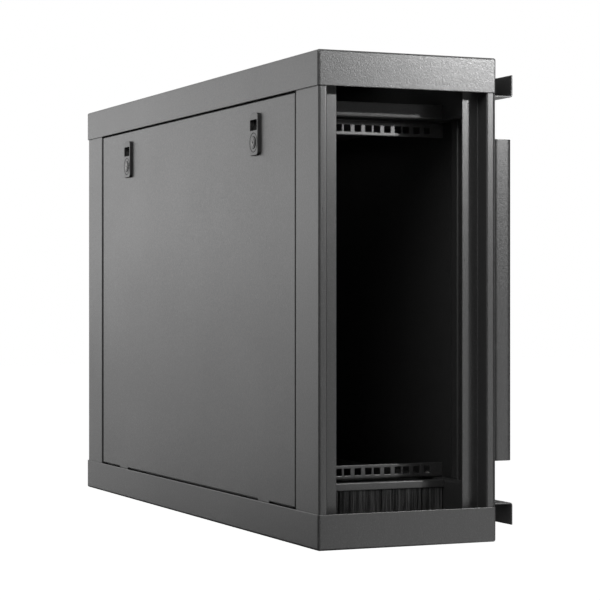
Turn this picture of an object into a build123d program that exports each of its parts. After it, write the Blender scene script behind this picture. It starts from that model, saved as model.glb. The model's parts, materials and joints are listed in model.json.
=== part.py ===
from build123d import *
import os

# Slim wall cabinet for rack equipment hung on edge, in millimetres.
# Modelled about the middle of its housing and moved at the end, so that the origin lies on the wall,
# in the middle of the wall side. X runs across the width towards the wall, the open front faces -Y.
# "Panel side" is the -X side with the lift-off panel, "wall side" is the +X side.

# Overall housing
cabinet_height = 645.0
cabinet_width = 260.0
cabinet_depth = 980.0
wall_gap = 30.3

# Folded caps
cap_sheet = 1.5
cap_skirt = 46.5
cap_bend = 3.0
cap_play = 0.3
vent_count = 12
vent_pitch = 16.0
vent_width = 6.0
vent_length = 130.0
vent_inset = 250.0

# Corner posts
post_sheet = 1.5
post_bend = 1.75
post_side = 75.6
post_face = 12.0
rebate_depth = 24.2
post_flange = 23.7
seat_lip = 16.0

# Depth beams
beam_sheet = 1.5
beam_bend = 2.0
beam_width = 15.5
beam_height = 77.0

# Lift-off side panel
panel_sheet = 1.2
panel_return = 14.0
panel_recess = 1.0
panel_end_gap = 4.0
panel_cap_gap = 2.0
panel_play = 0.3
panel_edge = 1.0
tab_width = 40.0
tab_length = 8.0
tab_end_inset = 108.6
ledge_sheet = 1.5
ledge_drop = 20.0
ledge_setback = 2.0
ledge_gap = 1.0

# Panel latches
latch_end_inset = 135.6
latch_below_cap = 47.3
latch_width = 30.0
latch_height = 58.5
latch_raise = 4.0
latch_corner = 5.0
latch_edge = 1.0
latch_wall = 2.0
latch_body_margin = 2.0
latch_body_depth = 8.0
latch_play = 0.3
window_width = 25.0
window_height = 15.0
window_rise = 12.8
window_corner = 2.0
slider_sheet = 2.5
slider_travel = 8.0
shoulder_gap = 6.2
slider_button_inset = 1.5
slider_front_wall = 1.3
tongue_width = 14.0
tongue_short = 0.6
lock_drop = 11.2
lock_radius = 5.5
lock_play = 0.1
lock_proud = 0.6
lock_ring_width = 2.4
lock_ring_raise = 0.8
lock_tail = 5.0
key_slot_width = 1.4
key_slot_height = 6.5
key_slot_depth = 3.0
cam_radius = 8.0
cam_flat = 6.0
leg_gap = 0.5
latch_back_sheet = 1.5
keeper_width = 24.0
keeper_height = 16.0

# Rack rails: as many units as the opening holds, three holes to a unit, hole rows 465.1 apart
rack_unit = 44.45
unit_hole_step = 15.875
square_hole = 9.5
rail_sheet = 2.0
rail_bend = 2.0
rail_edge_margin = 9.05
rail_seat_margin = 11.45
rail_web = 40.0
rail_end_inset = 1.0
rail_setback = 110.0
rail_travel = 300.0
rail_play = 0.3
rail_bolt_near = 14.0
rail_bolt_far = 32.0
slot_spare = 8.0

# Metric fasteners
m6_radius = 3.0
m6_hole = 3.3
m6_head_radius = 5.25
m6_head = 3.5
m6_nut_flats = 10.0
m6_nut = 5.0
m6_spare = 2.0
m4_radius = 2.0
m4_hole = 2.1
m4_head_radius = 3.8
m4_head = 2.4
m4_length = 8.0
thread_play = 0.05

# Front bar and cable brush
bar_setback = 82.0
bar_sheet = 1.5
bar_bend = 2.0
bar_above_seat = 1.5
bar_height = 20.0
bar_fold = 12.0
bar_tab = 16.0
brush_sheet = 1.2
brush_bend = 1.2
brush_holder_height = 10.4
brush_holder_depth = 8.0
bristle_floor_gap = 21.0

# Wall side
wall_panel_sheet = 1.5
wall_panel_inset = 1.0
wall_panel_cap_gap = 0.5
wall_rail_sheet = 2.0
wall_rail_bend = 3.0
wall_rail_end_inset = 10.0
wall_rail_below_cap = 4.0
wall_rail_flange = 30.0
wall_hole_radius = 4.5
wall_hole_pitch = 203.2
wall_hole_end_gap = 20.0
wall_hole_rise = 15.0
channel_rail_gap = 26.5
channel_width = 52.0
channel_lip = 12.0
channel_bend = 7.0
wall_bolt_near = 42.0
wall_bolt_far = 60.0
channel_bolt_inset = 25.0
wall_screw_step = 67.0
wall_screw_count = 5
wall_screw_inset = 76.0

# Rear end panel
rear_panel_sheet = 1.5
rear_panel_gap = 1.5
rear_panel_overlap = 20.0
rear_screw_inset = 26.0

# Cap studs
stud_setback = 90.0
stud_length = 15.0

# Places that several pieces share
half_width = cabinet_width / 2
half_depth = cabinet_depth / 2
half_height = cabinet_height / 2
skirt_edge = half_height - cap_skirt
post_x = half_width - cap_sheet - cap_play
post_y = half_depth - cap_sheet - cap_play
post_z = half_height - cap_sheet
flange_y = post_y - rebate_depth
opening_half = post_x - post_face - post_flange
beam_half = flange_y - post_sheet
beam_line = opening_half + (beam_sheet + beam_width) / 2
panel_face = post_x - panel_recess
panel_half_y = post_y - post_side - panel_end_gap
panel_half_z = skirt_edge - panel_cap_gap
seat_face = panel_face - panel_return - panel_play
latch_z = skirt_edge - latch_below_cap
wall_face = post_x + wall_panel_sheet
wall_plane = half_width + wall_gap
rail_face = half_depth - rail_setback
rack_units = int(2 * opening_half / rack_unit)
rail_seat = post_z - beam_height
hole_row = rail_seat - rail_seat_margin
rail_inner_edge = hole_row - rail_edge_margin
bar_y = half_depth - bar_setback
bar_low_edge = rail_seat + bar_above_seat
bar_screw_z = bar_low_edge + bar_height / 2
bar_screw_y = bar_y - bar_tab / 2 - brush_holder_depth / 2
brush_screw_z = rail_seat + brush_holder_height / 2
ledge_top = panel_half_z + panel_play
wall_rail_level = skirt_edge - wall_rail_below_cap
wall_rail_half = half_depth - wall_rail_end_inset
wall_hole_steps = range(1, 1 + int((wall_rail_half - wall_hole_end_gap) / wall_hole_pitch))
channel_half = wall_rail_level - wall_rail_flange - channel_rail_gap
rear_screw_reach = skirt_edge - rear_screw_inset
rear_screw_levels = (-rear_screw_reach, 0, rear_screw_reach)

os.makedirs("parts", exist_ok=True)


def save(name, shape):
    """Write one named piece, moved so that the wall plane passes through the origin."""
    export_step(Pos(-wall_plane, 0, 0) * shape, f"parts/{name}.step")


def block(low, high):
    """A box between two opposite corners."""
    size = [abs(b - a) for a, b in zip(low, high)]
    middle = [(a + b) / 2 for a, b in zip(low, high)]
    return Pos(*middle) * Box(*size)


def folded(points, sheet, bend, half_length):
    """Sheet metal bent along a line of points and drawn out both ways along the plane's normal."""
    line = FilletPolyline(*points, radius=bend)
    return extrude(trace(line, line_width=sheet), amount=half_length, both=True)


def group(solids):
    """Several separate solids that share one node."""
    return Compound(children=list(solids))


def rod(radius, low, high, axis):
    """A round bar along one axis, between two heights, about the axis itself."""
    bar = Cylinder(radius, abs(high - low))
    turn = {"x": Rot(0, 90, 0), "y": Rot(90, 0, 0), "z": Rot(0, 0, 0)}[axis]
    middle = (low + high) / 2
    place = {"x": Pos(middle, 0, 0), "y": Pos(0, middle, 0), "z": Pos(0, 0, middle)}[axis]
    return place * turn * bar


def hexagon(flats, low, high, axis):
    """A six-sided nut blank along one axis, with a hole for its bolt."""
    face = RegularPolygon(flats / 2, 6, major_radius=False) - Circle(m6_radius + thread_play)
    nut = extrude(face, amount=abs(high - low) / 2, both=True)
    turn = {"x": Rot(0, 90, 0), "z": Rot(0, 0, 0)}[axis]
    middle = (low + high) / 2
    place = {"x": Pos(middle, 0, 0), "z": Pos(0, 0, middle)}[axis]
    return place * turn * nut


def both_signs(values):
    """Each value with a minus and a plus sign."""
    return [sign * value for value in values for sign in (-1, 1)]


# Caps: a folded tray with vent slots and four welded studs for the beams
stud_places = [(x, y) for x in both_signs([beam_line]) for y in both_signs([half_depth - stud_setback])]


def cap(level):
    """Top cap for level 1, bottom cap for level -1."""
    outer = Box(cabinet_width, cabinet_depth, cap_skirt)
    open_face = outer.faces().sort_by(Axis.Z)[0]
    kept_sharp = open_face.edges()
    rounded = [edge for edge in outer.edges() if edge not in kept_sharp]
    outer = fillet(rounded, cap_bend)
    inner = Box(cabinet_width - 2 * cap_sheet, cabinet_depth - 2 * cap_sheet, cap_skirt)
    inner = fillet(inner.edges().filter_by(Axis.Z), cap_bend - cap_sheet)
    tray = outer - Pos(0, 0, -cap_sheet) * inner
    slot = extrude(SlotOverall(vent_length, vent_width), amount=cap_skirt)
    for end in (-1, 1):
        for row in range(vent_count):
            offset = (row - (vent_count - 1) / 2) * vent_pitch
            tray -= Pos(0, end * (half_depth - vent_inset) + offset, 0) * slot
    tray = Pos(0, 0, half_height - cap_skirt / 2) * tray
    for x, y in stud_places:
        tray += Pos(x, y, 0) * rod(m6_radius, post_z - stud_length, post_z, "z")
    return tray if level > 0 else Rot(180, 0, 0) * tray


save("top_cap", cap(1))
save("bottom_cap", cap(-1))


# Wall bolts pass through the wall side parts and the two wall side posts
channel_bolt_reach = channel_half - channel_bolt_inset
post_bolt_places = []
for end in (-1, 1):
    for step in (wall_bolt_near, wall_bolt_far):
        for z in both_signs([wall_rail_level - wall_rail_flange / 2]):
            post_bolt_places.append((end * (half_depth - step), z))
    for z in both_signs([channel_bolt_reach, channel_bolt_reach / 3]):
        post_bolt_places.append((end * (wall_rail_half - channel_width / 2), z))
wall_screw_pitch = 2 * (skirt_edge - wall_screw_inset) / (wall_screw_count - 1)
wall_screw_places = []
for end in (-1, 1):
    for row in range(wall_screw_count):
        z = (row - (wall_screw_count - 1) / 2) * wall_screw_pitch
        wall_screw_places.append((end * (post_y - wall_screw_step), z))


def wall_holes(shape, low, high):
    """Cut the wall side bolt and screw holes through a piece between two x values."""
    for y, z in post_bolt_places:
        shape -= Pos(0, y, z) * rod(m6_hole, low, high, "x")
    for y, z in wall_screw_places:
        shape -= Pos(0, y, z) * rod(m4_hole, low, high, "x")
    return shape


# Corner posts: seat lip, return, side face, front face, rebate wall and set-back flange
def corner_post(side, end):
    half_sheet = post_sheet / 2
    seat_x = seat_face - half_sheet
    return_y = post_y - post_side + half_sheet
    rebate_x = post_x - post_face + half_sheet
    path = [
        (seat_x, return_y - seat_lip),
        (seat_x, return_y),
        (post_x - half_sheet, return_y),
        (post_x - half_sheet, post_y - half_sheet),
        (rebate_x, post_y - half_sheet),
        (rebate_x, flange_y - half_sheet),
        (opening_half, flange_y - half_sheet),
    ]
    post = folded([(side * x, end * y) for x, y in path], post_sheet, post_bend, post_z)
    if side > 0:
        post = wall_holes(post, post_x - post_face, post_x + post_sheet)
    if end > 0:
        for z in rear_screw_levels:
            screw_x = side * (opening_half + rebate_x) / 2
            hole = rod(m4_hole, beam_half - post_sheet, flange_y + post_sheet, "y")
            post -= Pos(screw_x, 0, z) * hole
    return post


for end, end_name in ((-1, "front"), (1, "rear")):
    for side, side_name in ((-1, "panel"), (1, "wall")):
        save(f"{end_name}_{side_name}_post", corner_post(side, end))


# Depth beams: open channels between the front and rear flanges, slotted for the rack rails
def rail_bolt_rows(end):
    """Distances of a rail's bolts along the depth, for the front (-1) or rear (1) rail."""
    return [end * (rail_face - step) for step in (rail_bolt_near, rail_bolt_far)]


def beam(side, level):
    half_sheet = beam_sheet / 2
    web_x = opening_half + half_sheet
    path = [
        (opening_half + beam_width, rail_seat + half_sheet),
        (web_x, rail_seat + half_sheet),
        (web_x, post_z - half_sheet),
        (opening_half + beam_width, post_z - half_sheet),
    ]
    section = [(side * x, level * z) for x, z in path]
    shape = Plane.XZ * folded(section, beam_sheet, beam_bend, beam_half)
    near_row, far_row = rail_bolt_rows(1)
    slots = [
        (-near_row - slot_spare, -far_row + slot_spare),
        (far_row - rail_travel - slot_spare, near_row + slot_spare),
    ]
    for low, high in slots:
        flange = (level * (rail_seat - beam_sheet), level * (rail_seat + 2 * beam_sheet))
        slot = SlotOverall(high - low, 2 * m6_hole, rotation=90)
        slot = Pos(side * beam_line, (low + high) / 2, min(flange)) * slot
        shape -= extrude(slot, amount=3 * beam_sheet)
    for x, y in stud_places:
        if x * side > 0:
            hole = rod(m6_hole, level * (post_z - 2 * beam_sheet), level * (post_z + beam_sheet), "z")
            shape -= Pos(x, y, 0) * hole
    for screw_level, z in ((1, bar_screw_z), (-1, -brush_screw_z)):
        if screw_level == level:
            hole = rod(m4_hole, opening_half - beam_sheet, opening_half + 2 * beam_sheet, "x")
            shape -= Pos(0, -bar_screw_y, z) * (hole if side > 0 else Rot(0, 0, 180) * hole)
    return shape


for level, level_name in ((1, "upper"), (-1, "lower")):
    for side, side_name in ((-1, "panel"), (1, "wall")):
        save(f"{level_name}_{side_name}_beam", beam(side, level))

cap_nuts = []
for level in (-1, 1):
    for x, y in stud_places:
        nut_top = post_z - beam_sheet
        nut = hexagon(m6_nut_flats, level * (nut_top - m6_nut), level * nut_top, "z")
        cap_nuts.append(Pos(x, y, 0) * nut)
save("cap_nuts", group(cap_nuts))


# Side panel: a shallow tray with two tabs that drop behind the bottom skirt
latch_rows = both_signs([panel_half_y - latch_end_inset])
tab_rows = both_signs([panel_half_y - tab_end_inset])
body_width = latch_width - 2 * latch_body_margin
body_height = latch_height - 2 * latch_body_margin
tongue_tip = skirt_edge - tongue_short
slider_outer = -panel_face + slider_front_wall + latch_play


def side_panel():
    low = (-panel_face, -panel_half_y, -panel_half_z)
    high = (-panel_face + panel_return, panel_half_y, panel_half_z)
    outer = block(low, high)
    rim = outer.faces().sort_by(Axis.X)[0].edges()
    outer = fillet(list(rim), panel_edge)
    inner_low = [value + panel_sheet for value in low]
    inner_high = (high[0] + panel_sheet, high[1] - panel_sheet, high[2] - panel_sheet)
    tray = outer - block(inner_low, inner_high)
    for y in tab_rows:
        tray += block(
            (-panel_face, y - tab_width / 2, -panel_half_z - tab_length),
            (-panel_face + panel_sheet, y + tab_width / 2, -panel_half_z + panel_edge + panel_sheet),
        )
    cutout_y = body_width / 2 + latch_play
    cutout_z = body_height / 2 + latch_play
    slot_y = tongue_width / 2 + latch_play
    slot_high = slider_outer + slider_sheet + latch_play
    for y in latch_rows:
        tray -= block(
            (-post_x, y - cutout_y, latch_z - cutout_z),
            (-panel_face + 2 * panel_sheet, y + cutout_y, latch_z + cutout_z),
        )
        tray -= block(
            (slider_outer - latch_play, y - slot_y, panel_half_z - 2 * panel_sheet),
            (slot_high, y + slot_y, panel_half_z + panel_sheet),
        )
    return tray


save("side_panel", side_panel())

ledge_inner = -opening_half - beam_sheet - ledge_sheet / 2
ledge_path = [
    (-panel_face + panel_sheet + ledge_setback, -ledge_top - ledge_sheet / 2),
    (ledge_inner, -ledge_top - ledge_sheet / 2),
    (ledge_inner, -ledge_top - ledge_drop),
]
ledge_half = post_y - post_side - seat_lip - ledge_gap
save("panel_ledge", Plane.XZ * folded(ledge_path, ledge_sheet, beam_bend, ledge_half))


# Panel latches, each modelled at the middle of its face plate: x inwards from the panel's outer face
slot_floor = slider_front_wall
back_face = slot_floor + slider_sheet + 2 * latch_play
cavity_half = body_width / 2 - latch_wall
slider_half = cavity_half - latch_play
window_low = window_rise - window_height / 2
slider_shoulder = cam_radius - lock_drop + shoulder_gap
leg_edge = cam_flat + leg_gap


def rounded_bar(width, height, low, x_from, x_to):
    """A bar with the window's rounded corners, standing on one height, between two x values."""
    outline = extrude(RectangleRounded(width, height, window_corner), amount=x_to - x_from)
    return Pos(x_from, 0, low + height / 2) * (Plane.YZ * outline)


def latch_body():
    plate = extrude(RectangleRounded(latch_width, latch_height, latch_corner), amount=latch_raise)
    plate = fillet(plate.faces().sort_by(Axis.Z)[-1].edges(), latch_edge)
    plate = Plane.YZ * Rot(0, 180, 0) * plate
    body = plate + block(
        (0, -body_width / 2, -body_height / 2), (latch_body_depth, body_width / 2, body_height / 2)
    )
    ring = rod(lock_radius + lock_ring_width, -latch_raise - lock_ring_raise, 0, "x")
    body += Pos(0, 0, -lock_drop) * ring
    body -= block(
        (slot_floor, -cavity_half, -body_height / 2 + latch_wall),
        (latch_body_depth + latch_wall, cavity_half, body_height / 2 - latch_wall),
    )
    body -= rounded_bar(window_width, window_height, window_low, -2 * latch_raise, slot_floor)
    body -= block(
        (slot_floor, -tongue_width / 2 - latch_play, 0),
        (back_face, tongue_width / 2 + latch_play, latch_height),
    )
    bore = rod(lock_radius + lock_play, -2 * latch_raise, slot_floor + latch_wall, "x")
    return body - Pos(0, 0, -lock_drop) * bore


def latch_slider():
    """Plate with a finger button through the window, a tongue above and a notched leg beside the cam."""
    near = slot_floor + latch_play
    far = near + slider_sheet
    plate_top = body_height / 2 - latch_wall - slider_travel - latch_play
    leg_foot = -body_height / 2 + latch_wall + latch_play
    tip = tongue_tip - latch_z
    slider = block((near, -slider_half, slider_shoulder), (far, slider_half, plate_top))
    slider += block((near, leg_edge, leg_foot), (far, slider_half, plate_top))
    slider += block((near, -tongue_width / 2, slider_shoulder), (far, tongue_width / 2, tip))
    button_low = window_low + latch_play
    button_width = window_width - 2 * latch_play
    button_height = window_height - 2 * latch_play - slider_travel
    button_front = -latch_raise + slider_button_inset
    slider += rounded_bar(button_width, button_height, button_low, button_front, slot_floor)
    neck_high = button_low + button_height
    slider += block((slot_floor, -slider_half, button_low), (near, slider_half, neck_high))
    for lift in (0, slider_travel):
        notch = rod(cam_radius + latch_play, near - slider_sheet, far + slider_sheet, "x")
        slider -= Pos(0, 0, -lock_drop - lift) * notch
    return slider


def lock_cylinder():
    """Key barrel with a square tail that carries the cam."""
    front = -latch_raise - lock_ring_raise - lock_proud
    barrel = rod(lock_radius, front, slot_floor + latch_play, "x")
    barrel += block(
        (slot_floor, -lock_tail / 2, -lock_tail / 2),
        (back_face, lock_tail / 2, lock_tail / 2),
    )
    barrel -= block(
        (front - lock_proud, -key_slot_width / 2, -key_slot_height / 2),
        (front + key_slot_depth, key_slot_width / 2, key_slot_height / 2),
    )
    return Pos(0, 0, -lock_drop) * barrel


def lock_cam():
    near = slot_floor + latch_play
    far = near + slider_sheet
    disc = rod(cam_radius, near, far, "x")
    low = near - slider_sheet
    high = far + slider_sheet
    disc -= block((low, cam_flat, -cam_radius), (high, 2 * cam_radius, cam_radius))
    disc -= block((low, -lock_tail / 2, -lock_tail / 2), (high, lock_tail / 2, lock_tail / 2))
    return Pos(0, 0, -lock_drop) * disc


def latch_back():
    return block(
        (back_face, -cavity_half, -body_height / 2 + latch_wall),
        (back_face + latch_back_sheet, cavity_half, body_height / 2 - latch_wall),
    )


for y, end_name in zip(latch_rows, ("front", "rear")):
    place = Pos(-panel_face, y, latch_z)
    save(f"{end_name}_latch_body", place * latch_body())
    save(f"{end_name}_latch_slider", place * latch_slider())
    save(f"{end_name}_latch_back", place * latch_back())
    save(f"{end_name}_lock_cylinder", place * lock_cylinder())
    save(f"{end_name}_lock_cam", place * lock_cam())

keepers = []
for y in latch_rows:
    keepers.append(block(
        (-half_width + cap_sheet, y - keeper_width / 2, skirt_edge),
        (slider_outer - latch_play, y + keeper_width / 2, skirt_edge + keeper_height),
    ))
save("latch_keepers", group(keepers))


# Rack rails: angles with a row of square holes, bolted to the beams through their slots
rail_half = opening_half + beam_width - rail_end_inset
rail_top = rail_seat - rail_play


def rack_rail(end, level):
    half_sheet = rail_sheet / 2
    path = [
        (end * (rail_face - half_sheet), level * rail_inner_edge),
        (end * (rail_face - half_sheet), level * (rail_top - half_sheet)),
        (end * (rail_face - rail_web), level * (rail_top - half_sheet)),
    ]
    rail = Plane.YZ * folded(path, rail_sheet, rail_bend, rail_half)
    for unit in range(rack_units):
        for step in (-unit_hole_step, 0, unit_hole_step):
            x = (unit + 1 / 2 - rack_units / 2) * rack_unit + step
            hole = Box(square_hole, 3 * rail_sheet, square_hole)
            rail -= Pos(x, end * (rail_face - half_sheet), level * hole_row) * hole
    for x in both_signs([beam_line]):
        for y in rail_bolt_rows(end):
            hole = rod(m6_hole, level * (rail_top - 2 * rail_sheet), level * rail_seat, "z")
            rail -= Pos(x, y, 0) * hole
    return rail


def rail_bolts(end, level):
    bolts = []
    head_seat = rail_top - rail_sheet
    shank_end = rail_seat + beam_sheet + rail_play + m6_nut + m6_spare
    for x in both_signs([beam_line]):
        for y in rail_bolt_rows(end):
            head = rod(m6_head_radius, level * (head_seat - m6_head), level * head_seat, "z")
            bolt = head + rod(m6_radius, level * head_seat, level * shank_end, "z")
            bolts.append(Pos(x, y, 0) * bolt)
    return bolts


def rail_nuts(end, level):
    nut_seat = rail_seat + beam_sheet + rail_play
    nut = hexagon(m6_nut_flats, level * nut_seat, level * (nut_seat + m6_nut), "z")
    return [Pos(x, y, 0) * nut for x in both_signs([beam_line]) for y in rail_bolt_rows(end)]


for level, level_name in ((1, "upper"), (-1, "lower")):
    save(f"{level_name}_front_rail", rack_rail(-1, level))
    save(f"{level_name}_rear_rail", rack_rail(1, level))
    save(f"{level_name}_rear_rail_bolts", group(rail_bolts(1, level)))
    save(f"{level_name}_rear_rail_nuts", group(rail_nuts(1, level)))
save("front_rail_bolts", group(rail_bolts(-1, 1) + rail_bolts(-1, -1)))
save("front_rail_nuts", group(rail_nuts(-1, 1) + rail_nuts(-1, -1)))


# Front bar above, brush strip below, both screwed to the beams through end tabs
def end_tabs(y_from, y_to, z_from, z_to, sheet):
    """A plate that lies on the beam web at each end of a piece."""
    tabs = []
    for side in (-1, 1):
        low = (side * opening_half, y_from, z_from)
        high = (side * (opening_half - sheet), y_to, z_to)
        tabs.append(block(low, high))
    return tabs


def front_bar():
    half_sheet = bar_sheet / 2
    path = [
        (-bar_y + half_sheet, bar_low_edge + bar_height),
        (-bar_y + half_sheet, bar_low_edge + half_sheet),
        (-bar_y + bar_fold, bar_low_edge + half_sheet),
    ]
    bar = Plane.YZ * folded(path, bar_sheet, bar_bend, opening_half)
    tab_low = bar_screw_z - bar_tab / 2
    for tab in end_tabs(-bar_y, -bar_screw_y + bar_tab / 2, tab_low, tab_low + bar_tab, bar_sheet):
        bar += tab
    return bar - Pos(0, -bar_screw_y, bar_screw_z) * rod(m4_hole, -half_width, half_width, "x")


def brush_holder():
    half_sheet = brush_sheet / 2
    near = -bar_y - brush_holder_depth / 2 + half_sheet
    far = -bar_y + brush_holder_depth / 2 - half_sheet
    path = [
        (near, -rail_seat - brush_holder_height),
        (near, -rail_seat - half_sheet),
        (far, -rail_seat - half_sheet),
        (far, -rail_seat - brush_holder_height),
    ]
    holder = Plane.YZ * folded(path, brush_sheet, brush_bend, opening_half)
    tab_from = -bar_y + brush_holder_depth / 2 - brush_sheet
    tab_to = -bar_screw_y + bar_tab / 2
    for tab in end_tabs(tab_from, tab_to, -rail_seat - brush_holder_height, -rail_seat, brush_sheet):
        holder += tab
    return holder - Pos(0, -bar_screw_y, -brush_screw_z) * rod(m4_hole, -half_width, half_width, "x")


save("upper_front_bar", front_bar())
save("brush_holder", brush_holder())
bristle_half = brush_holder_depth / 2 - brush_sheet
save("brush_bristles", block(
    (-opening_half + brush_sheet, -bar_y - bristle_half, -post_z + bristle_floor_gap),
    (opening_half - brush_sheet, -bar_y + bristle_half, -rail_seat - brush_sheet - brush_bend),
))


def pan_screw(seat, direction, axis):
    """A pan head screw whose head sits at a face and whose shank runs inwards against direction."""
    head = rod(m4_head_radius, seat, seat + direction * m4_head, axis)
    return head + rod(m4_radius, seat - direction * m4_length, seat, axis)


bar_screws = []
for side in (-1, 1):
    for z, sheet in ((bar_screw_z, bar_sheet), (-brush_screw_z, brush_sheet)):
        screw = pan_screw(side * (opening_half - sheet), -side, "x")
        bar_screws.append(Pos(0, -bar_screw_y, z) * screw)
save("bar_screws", group(bar_screws))


# Wall side: closing panel, two Z section wall rails and two tall lipped channels
wall_panel = block(
    (post_x, -post_y + wall_panel_inset, -skirt_edge + wall_panel_cap_gap),
    (wall_face, post_y - wall_panel_inset, skirt_edge - wall_panel_cap_gap),
)
save("wall_panel", wall_holes(wall_panel, post_x - post_sheet, wall_face + wall_panel_sheet))


def wall_rail(level):
    half_sheet = wall_rail_sheet / 2
    web_z = wall_rail_level + half_sheet
    path = [
        (wall_face + half_sheet, level * (wall_rail_level - wall_rail_flange)),
        (wall_face + half_sheet, level * web_z),
        (wall_plane - half_sheet, level * web_z),
        (wall_plane - half_sheet, level * (wall_rail_level + wall_rail_flange)),
    ]
    rail = Plane.XZ * folded(path, wall_rail_sheet, wall_rail_bend, wall_rail_half)
    rail = wall_holes(rail, post_x, wall_face + 2 * wall_rail_sheet)
    for y in both_signs(step * wall_hole_pitch for step in wall_hole_steps):
        hole = rod(wall_hole_radius, wall_plane - 2 * wall_rail_sheet, wall_plane + wall_rail_sheet, "x")
        rail -= Pos(0, y, level * (wall_rail_level + wall_hole_rise)) * hole
    return rail


def wall_channel(end):
    half_sheet = wall_rail_sheet / 2
    near = wall_rail_half - half_sheet
    far = wall_rail_half - channel_width + half_sheet
    path = [
        (wall_plane - half_sheet, end * (near - channel_lip)),
        (wall_plane - half_sheet, end * near),
        (wall_face + half_sheet, end * near),
        (wall_face + half_sheet, end * far),
        (wall_plane - half_sheet, end * far),
        (wall_plane - half_sheet, end * (far + channel_lip)),
    ]
    channel = folded(path, wall_rail_sheet, channel_bend, channel_half)
    return wall_holes(channel, post_x, wall_face + 2 * wall_rail_sheet)


save("upper_wall_rail", wall_rail(1))
save("lower_wall_rail", wall_rail(-1))
save("front_wall_channel", wall_channel(-1))
save("rear_wall_channel", wall_channel(1))

bolt_seat = wall_face + wall_rail_sheet
nut_seat = post_x - post_sheet
wall_bolts = []
wall_nuts = []
for y, z in post_bolt_places:
    head = rod(m6_head_radius, bolt_seat, bolt_seat + m6_head, "x")
    shank = rod(m6_radius, nut_seat - m6_nut - m6_spare, bolt_seat, "x")
    wall_bolts.append(Pos(0, y, z) * (head + shank))
    wall_nuts.append(Pos(0, y, z) * hexagon(m6_nut_flats, nut_seat - m6_nut, nut_seat, "x"))
save("wall_bolts", group(wall_bolts))
save("wall_nuts", group(wall_nuts))
wall_screw = pan_screw(wall_face, 1, "x")
save("wall_panel_screws", group(Pos(0, y, z) * wall_screw for y, z in wall_screw_places))


# Rear end panel: a plate on the rear flanges, reaching up behind both skirts
rear_half = post_x - post_face - rear_panel_gap
rear_screw_x = (opening_half + post_x - post_face + post_sheet / 2) / 2
rear_panel = block(
    (-rear_half, flange_y, -skirt_edge - rear_panel_overlap),
    (rear_half, flange_y + rear_panel_sheet, skirt_edge + rear_panel_overlap),
)
rear_screws = []
for x in both_signs([rear_screw_x]):
    for z in rear_screw_levels:
        hole = rod(m4_hole, flange_y - post_sheet, flange_y + 2 * rear_panel_sheet, "y")
        rear_panel -= Pos(x, 0, z) * hole
        rear_screws.append(Pos(x, 0, z) * pan_screw(flange_y + rear_panel_sheet, 1, "y"))
save("rear_panel", rear_panel)
save("rear_panel_screws", group(rear_screws))
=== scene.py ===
# %% [markdown]
# A slim wall cabinet for network equipment, dressed for the camera.
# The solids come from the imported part: caps, posts, panel, rails, latches and fasteners, all at their
# real size in metres. This lesson gives every surface its finish, swaps plain stand-ins such as the
# brush and the screws for detailed pieces, and sets up the studio that the photograph was taken in.

# %% Load the frame
import json
import math

import bmesh
import bpy
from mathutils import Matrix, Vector


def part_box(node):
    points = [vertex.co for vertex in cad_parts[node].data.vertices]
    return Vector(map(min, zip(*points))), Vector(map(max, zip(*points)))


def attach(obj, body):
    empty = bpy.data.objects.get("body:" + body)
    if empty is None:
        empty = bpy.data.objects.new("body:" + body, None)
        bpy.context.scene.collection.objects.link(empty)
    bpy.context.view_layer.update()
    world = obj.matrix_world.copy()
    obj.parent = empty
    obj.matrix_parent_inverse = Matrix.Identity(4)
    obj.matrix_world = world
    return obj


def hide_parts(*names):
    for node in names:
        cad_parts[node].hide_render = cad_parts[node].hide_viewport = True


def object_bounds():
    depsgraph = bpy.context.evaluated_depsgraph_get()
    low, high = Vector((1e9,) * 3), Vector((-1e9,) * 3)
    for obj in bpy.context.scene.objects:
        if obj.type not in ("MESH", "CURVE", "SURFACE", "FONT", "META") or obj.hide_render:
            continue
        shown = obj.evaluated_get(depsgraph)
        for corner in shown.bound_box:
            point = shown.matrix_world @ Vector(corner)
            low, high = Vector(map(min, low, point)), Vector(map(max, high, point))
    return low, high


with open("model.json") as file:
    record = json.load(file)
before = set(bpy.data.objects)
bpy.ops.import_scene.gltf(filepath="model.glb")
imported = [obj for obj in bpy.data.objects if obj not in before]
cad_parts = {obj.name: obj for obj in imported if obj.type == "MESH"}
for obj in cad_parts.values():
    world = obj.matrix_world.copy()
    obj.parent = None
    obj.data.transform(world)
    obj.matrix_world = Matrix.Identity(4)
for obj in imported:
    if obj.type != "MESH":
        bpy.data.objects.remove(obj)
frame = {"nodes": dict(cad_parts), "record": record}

cad_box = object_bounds()
nodes = frame["nodes"]
MM = 0.001
print("CAD box", [[round(v, 4) for v in corner] for corner in cad_box])

# %% [markdown]
# Shader and geometry trees are usually wired by hand, node by node. Written as code that becomes long,
# so two small classes take the wiring over. A Wire is one output socket, and adding, subtracting or
# multiplying wires puts down a Math node. A Graph adds any other node with one method: the settings
# go in first, because some of them change which sockets the node has, and then the sockets.


# %% Wires and graphs
class Wire:
    """One output socket of a node, used in sums as a number is."""

    def __init__(self, graph, socket):
        self.graph = graph
        self.socket = socket

    def __add__(self, other):
        return self.graph.math("ADD", self, other)

    def __sub__(self, other):
        return self.graph.math("SUBTRACT", self, other)

    def __rsub__(self, other):
        return self.graph.math("SUBTRACT", other, self)

    def __mul__(self, other):
        return self.graph.math("MULTIPLY", self, other)

    def __truediv__(self, other):
        return self.graph.math("DIVIDE", self, other)

    def __lt__(self, other):
        return self.graph.math("LESS_THAN", self, other)

    __radd__ = __add__
    __rmul__ = __mul__


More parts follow.
